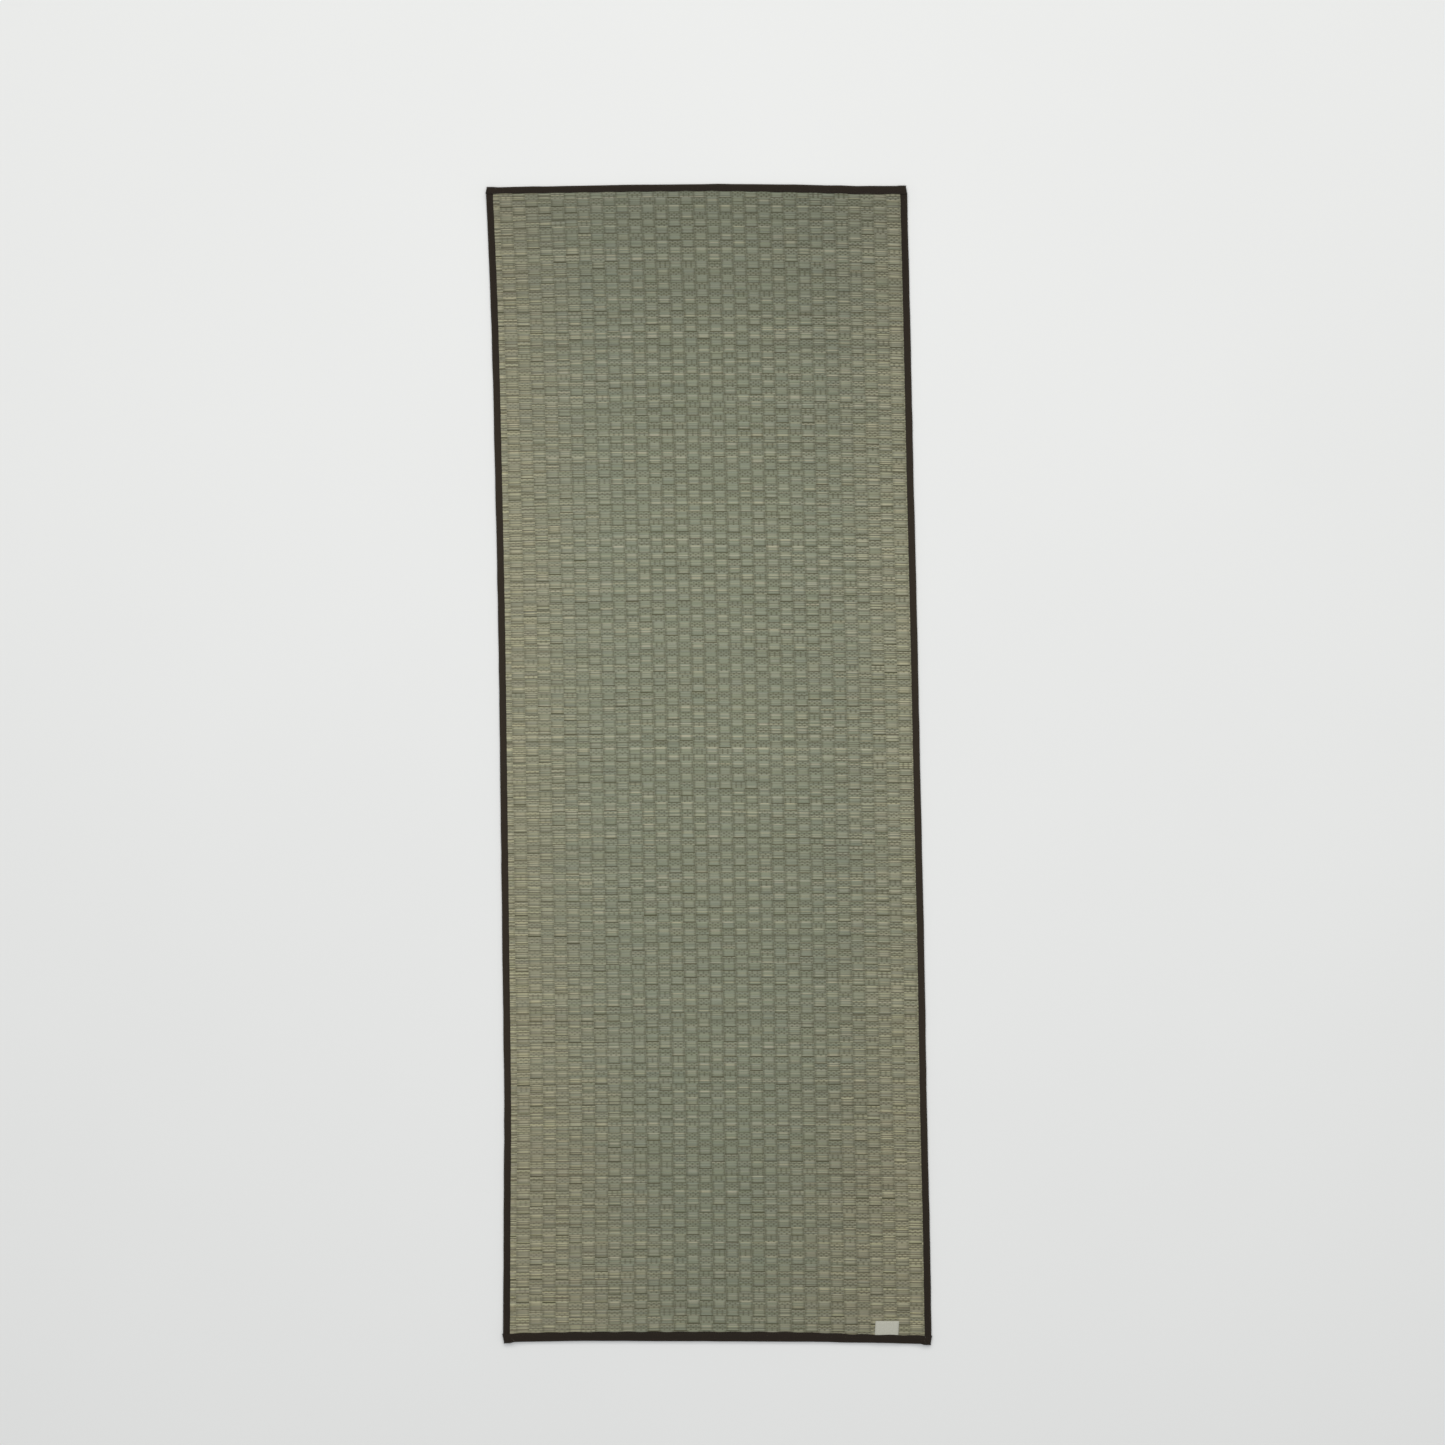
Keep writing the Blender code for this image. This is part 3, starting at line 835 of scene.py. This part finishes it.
# Cotton tape, yarn-dyed brown-black and woven in a fine herringbone twill. It drinks light; a painted sheen
# lightens it along the roll of its fold and along the middle of the mat's length. Threads are 0.5 mm; the
# twill is drawn 1.1 mm to show.
tapeFinish = {
    "dark": "#1c150f",
    "light": "#2f271e",
    "paintedSheen": "#383025",
    # the painted sheen's colour, along the fold's roll and the middle of the length
    "lint": "#5d5546",
    "twill": 1.1,
    "band": 5.0,                        # mm, the width of a band of twill
    "midSheen": (0.88, 0.40, 0.0, 0.45),   # metres from the middle of the mat's length, and how strong a painted sheen is there
    "roll": 3.4,                        # mm from the fold's outermost line to where a painted highlight lies along its roll
    "rollSheen": (0.0, 1.3, 0.75, 0.0),
    "specks": (0.70, 0.76, 0.0, 0.5),
    "roughness": (0.2, 0.8, 0.80, 0.96),
}


def makeTapeCotton(name):
    material, surface, add = newMaterial(name)
    place = add("VectorMath", {0: add("UVMap", uv_map="tape"), "Scale": 1 / mm}, operation="SCALE")
    along, around = add("SeparateXYZ", [place], output=None).outputs[:2]
    # twill lines lean one way and then the other
    lean = add("ADD", [along, add("PINGPONG", [around, tapeFinish["band"]])])
    twill = add("SINE", [add("MULTIPLY", [lean, 2 * math.pi / tapeFinish["twill"]])])
    rough = add("TexNoise", {"Vector": place, "Scale": 0.9, "Detail": 3.0})
    mixed = add("MapRange", [add("MULTIPLY_ADD", [twill, 0.16, rough]), 0.30, 0.80])
    # painted sheen: the long edges are lighter towards the middle of their length
    middle = add("SeparateXYZ", [add("TexCoord", output=3)], output=1)
    midSheen = add("MapRange", [add("ABSOLUTE", [middle]), *tapeFinish["midSheen"]], **smooth)
    # a painted highlight along the roll of the fold, in patches
    fromRoll = add("ABSOLUTE", [add("SUBTRACT", [around, tapeFinish["roll"]])])
    paintedSheen = add("MapRange", [fromRoll, *tapeFinish["rollSheen"]], **smooth)
    paintedSheen = add("MULTIPLY", [paintedSheen, add("TexNoise", {"Vector": place, "Scale": 0.08, "Detail": 2.0})])
    specks = add("TexNoise", {"Vector": place, "Scale": 0.55, "Detail": 1.0})
    specks = add("MapRange", [specks, *tapeFinish["specks"]])
    colour = toLinear(tapeFinish["dark"])
    for share, shade in ((mixed, "light"), (midSheen, "paintedSheen"), (paintedSheen, "paintedSheen"), (specks, "lint")):
        colour = add("Mix", {0: share, 6: colour, 7: toLinear(tapeFinish[shade])}, **inColour)
    relief = add("MULTIPLY_ADD", [rough, 0.6, twill])
    setInputs(surface, {
        "Base Color": colour,
        "Roughness": add("MapRange", [rough, *tapeFinish["roughness"]]),
        "Specular IOR Level": 0.22,
        "Sheen Weight": 0.04,
        "Sheen Roughness": 0.5,
        "Normal": add("Bump", {"Strength": 0.5, "Distance": 0.15 * mm, "Height": relief}),
    })
    return material


# The label: a plain tab of cream cotton, bare, its lower edge under the near tape
label = {
    "left": 259.0,
    "top": -865.6,
    "width": 36.8,
    "height": 27.0,
    "lean": 0.06,          # how far its foot lies to the left, for each mm of its height
    "riseRun": 4.0,        # the near tape rises over it across this much
    "linesAcross": 12,
    "linesAlong": 8,
    "ripple": 0.12,
    "rippleSteps": (0.21, 0.3),
    "seed": 3,
}

# Unbleached cotton in plain weave: matt, cream, with thicker threads here and there. Threads are
# 0.4 mm in life and drawn 0.9 mm to show.
labelFinish = {"cream": "#bfbeb1", "dull": "#aba99b", "thread": 0.9}


def makeLabelCotton(name):
    material, surface, add = newMaterial(name)
    place = add("VectorMath", {0: add("UVMap", uv_map="label"), "Scale": 1 / mm}, operation="SCALE")
    waves = []
    for part in add("SeparateXYZ", [place], output=None).outputs[:2]:
        turn = add("MULTIPLY", [part, math.pi / labelFinish["thread"]])
        waves.append(add("SINE", [turn]))
    slub = add("TexNoise", {"Vector": place, "Scale": 0.55, "Detail": 2.0})
    mixed = add("MULTIPLY_ADD", [add("MULTIPLY", waves), 0.22, slub])
    mixed = add("MapRange", [mixed, 0.2, 0.8])
    dull, cream = toLinear(labelFinish["dull"]), toLinear(labelFinish["cream"])
    setInputs(surface, {
        "Base Color": add("Mix", {0: mixed, 6: dull, 7: cream}, **inColour),
        "Roughness": 0.92,
        "Specular IOR Level": 0.2,
        "Sheen Weight": 0.08,
        "Normal": add("Bump", {"Strength": 0.5, "Distance": 0.12 * mm, "Height": mixed}),
    })
    return material


def makeLabel(cotton):
    u, v = np.meshgrid(*(np.linspace(0, 1, label[lines] + 1) for lines in ("linesAcross", "linesAlong")))
    down = label["height"] * v
    x = (label["left"] + label["width"] * u - label["lean"] * down) * mm
    y = (label["top"] - down) * mm
    ripple = unevenness(label["seed"], u, v, *label["rippleSteps"]) * label["ripple"] * mm
    points = np.stack([x, y, clothTop(x, y) + outline["space"] * mm + ripple], axis=-1)
    piece = gridPiece("bareLabel", points, {"label": np.stack([x - x.min(), y - y.min()], axis=-1)})
    piece.data.materials.append(cotton)
    return thicken(piece, outline["label"] * mm, 1)


# Seams: one line of stitches along each tape, and a few paler tacking stitches at the near corners
stitches = {
    "pitch": 4.0,
    "length": 2.9,
    "width": 0.55,
    "height": 0.30,
    "sink": 0.05,       # how deep a stitch lies in the tape
    "clear": 4.0,       # a side seam ends this far short of the step of the end tape over it
    "tackRise": 1.15,   # how far the cloth lifts the end tapes at the corners, and a little more
    "turn": 0.14,       # how far a stitch may lie askew, in radians
    "seed": 23,
    # from, to, across and along in mm
    "tacks": (
        ((-305.8, -893.0), (-302.4, -896.4)),
        ((-306.6, -897.6), (-303.4, -895.2)),
        ((334.2, -888.6), (336.4, -890.6)),
        ((335.4, -896.0), (337.2, -899.2)),
    ),
}


# Polished sewing thread, darker than the tape and a little shinier; the tacking thread is undyed grey
def makeThread(name, colour, roughness):
    material, surface, add = newMaterial(name)
    ply = add("TexNoise", {"Vector": add("TexCoord", output=3), "Scale": 900.0, "Detail": 1.0})
    shade = add("MapRange", [ply, 0.3, 0.7, 0.75, 1.25])
    setInputs(surface, {
        "Base Color": add("VectorMath", {0: toLinear(colour)[:3], "Scale": shade}, operation="SCALE"),
        "Roughness": roughness,
        "Normal": add("Bump", {"Strength": 0.4, "Distance": 0.1 * mm, "Height": ply}),
    })
    return material


# Geometry Nodes: stitches at an even pitch along the edges of a mesh
def makeStitchTree():
    tree, add = newTree("Tape stitches", {
        "Pitch": "Float", "Size": "Vector", "Askew": "Float", "Seed": "Int", "Thread": "Material",
    })
    given = add("NodeGroupInput", output=None).outputs
    path = add("GeometryNodeMeshToCurve", {"Mesh": given["Geometry"]})
    path = add("GeometryNodeResampleCurve", {"Curve": path, "Length": given["Pitch"]}, mode="LENGTH")
    tangent = add("GeometryNodeInputTangent")
    turn = add("FunctionNodeAlignRotationToVector", {"Vector": tangent}, axis="X")
    ball = add("GeometryNodeMeshUVSphere", {"Segments": 4, "Rings": 3, "Radius": 0.5})
    ball = add("GeometryNodeSetShadeSmooth", {"Geometry": ball})
    ball = add("GeometryNodeTransform", {"Geometry": ball, "Scale": given["Size"]})
    low = add("SUBTRACT", [0.0, given["Askew"]])
    limits = {"Min": low, "Max": given["Askew"], "Seed": given["Seed"]}
    askew = add("FunctionNodeRandomValue", limits, output=1, data_type="FLOAT")
    askew = add("CombineXYZ", {"Z": askew})
    placed = add("GeometryNodeInstanceOnPoints", {"Points": path, "Instance": ball, "Rotation": turn})
    placed = add("GeometryNodeRotateInstances", {"Instances": placed, "Rotation": askew})
    placed = add("GeometryNodeRealizeInstances", {"Geometry": placed})
    placed = add("GeometryNodeSetMaterial", {"Geometry": placed, "Material": given["Thread"]})
    add("NodeGroupOutput", [placed], output=None)
    return tree


def makeStitches(name, paths, tree, thread):
    points = []
    edges = []
    for path in paths:
        first = len(points)
        points.extend(path)
        edges.extend((first + k, first + k + 1) for k in range(len(path) - 1))
    mesh = bpy.data.meshes.new(name)
    mesh.from_pydata(points, edges, [])
    piece = newObject(name, mesh)
    settle(piece, tree, {
        "Pitch": stitches["pitch"] * mm,
        "Size": [stitches[size] * mm for size in ("length", "width", "height")],
        "Askew": stitches["turn"],
        "Seed": stitches["seed"],
        "Thread": thread,
    })
    print("Sewn", name, "with", len(piece.data.polygons), "faces")
    return piece


# The studio: the mat lies on a plain pale floor under soft light from beyond its far end. The camera
# looks straight down, as far off as a photographer's ladder allows
studio = {
    "floor": "#e9e9e7",
    "floorSize": 12.0,
    "floorTop": -0.0002,
    "cameraAt": (0.0211, 0.0650, 6.0),
    "seen": 2.248,          # metres across the picture, on the floor
    "sensor": 36.0,
    # name, place, what it is turned to, size, power in watts, colour
    "lights": (
        ("farWindow", (0.15, 7.0, 6.5), (0.0, 0.0, 0.0), (10.0, 3.5), 385.0, "#fffdf8"),
        ("overhead", (0.0, 0.5, 5.0), (0.0, 0.5, 0.0), (5.0, 5.0), 160.0, "#fbfdff"),
    ),
    "sky": "#f4f6fa",
    "skyStrength": 0.31,
}


def makeStudio():
    size, low = studio["floorSize"] / 2, studio["floorTop"]
    mesh = bpy.data.meshes.new("studioFloor")
    corners = [(-size, -size, low), (size, -size, low), (size, size, low), (-size, size, low)]
    mesh.from_pydata(corners, [], [(0, 1, 2, 3)])
    material, surface, add = newMaterial("Pale painted floor")
    mottle = add("TexNoise", {"Vector": add("TexCoord", output=3), "Scale": 1.5, "Detail": 3.0})
    shade = add("MapRange", [mottle, 0.3, 0.7, 0.985, 1.0])
    tint = add("VectorMath", {0: toLinear(studio["floor"])[:3], "Scale": shade}, operation="SCALE")
    setInputs(surface, {"Base Color": tint, "Roughness": 0.9, "Specular IOR Level": 0.1})
    mesh.materials.append(material)
    floor = newObject("studioFloor", mesh)
    for name, place, target, (width, depth), power, colour in studio["lights"]:
        lamp = bpy.data.lights.new(name, "AREA")
        lamp.shape = "RECTANGLE"
        lamp.size = width
        lamp.size_y = depth
        lamp.energy = power
        lamp.color = toLinear(colour)[:3]
        holder = newObject(name, lamp)
        holder.location = place
        x, y, z = np.array(target) - np.array(place)
        holder.rotation_euler = (math.atan2(math.hypot(x, y), -z), 0.0, math.atan2(y, x) - math.pi / 2)
    world = bpy.data.worlds.new("Studio air")
    world.use_nodes = True
    setInputs(world.node_tree.nodes["Background"], [toLinear(studio["sky"]), studio["skyStrength"]])
    bpy.context.scene.world = world
    camera = bpy.data.cameras.new("overheadCamera")
    camera.sensor_width = studio["sensor"]
    camera.lens = studio["sensor"] * studio["cameraAt"][2] / studio["seen"]
    camera.clip_end = 100.0
    bpy.context.scene.camera = newObject("overheadCamera", camera)
    bpy.context.scene.camera.location = studio["cameraAt"]
    bpy.context.scene.view_settings.view_transform = "Standard"


# Making everything
makeStudio()
print("Studio ready")

faceRush = makeRush("Dried woven rush, face", reliefInBump=False)
backRush = makeRush("Dried woven rush, back", reliefInBump=True)
tapeCotton = makeTapeCotton("Brown-black cotton twill tape")
labelCotton = makeLabelCotton("Unbleached plain-weave cotton")
seamThread = makeThread("Dark polished sewing thread", "#241f1a", 0.55)
tackThread = makeThread("Undyed tacking thread", "#5a554c", 0.7)

cloth = makeRushCloth(backRush)
faces = makeWeaveFaces(faceRush)
bound = [makeSideTape(side, tapeCotton) for side in ("left", "right")]
bound += [makeEndTape(end, tapeCotton) for end in ("far", "near")]
tapes, seams = zip(*bound)
tab = makeLabel(labelCotton)

stitchTree = makeStitchTree()
lift = np.array([0.0, 0.0, stitches["height"] / 2 - stitches["sink"]]) * mm
clear = (tape["stepEnd"] + stitches["clear"]) * mm
seamPaths = [seam[endDistance(seam[:, 0], seam[:, 1]) > clear] for seam in seams[:2]] + [*seams[2:]]
seamLines = makeStitches("seamStitches", [path + lift for path in seamPaths], stitchTree, seamThread)
tackTop = (foldedHeight + tapeLayer + stitches["tackRise"]) * mm
tackPaths = [[(x * mm, y * mm, tackTop) for x, y in ends] for ends in stitches["tacks"]]
tacks = makeStitches("tackStitches", tackPaths, stitchTree, tackThread)

for piece in [cloth, *faces, *tapes, tab, seamLines, tacks]:
    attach(piece, "root")
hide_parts("rush_mat")
for piece, node in zip(tapes, ("binding_left", "binding_right", "binding_far", "binding_near")):
    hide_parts(node)
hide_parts("label")
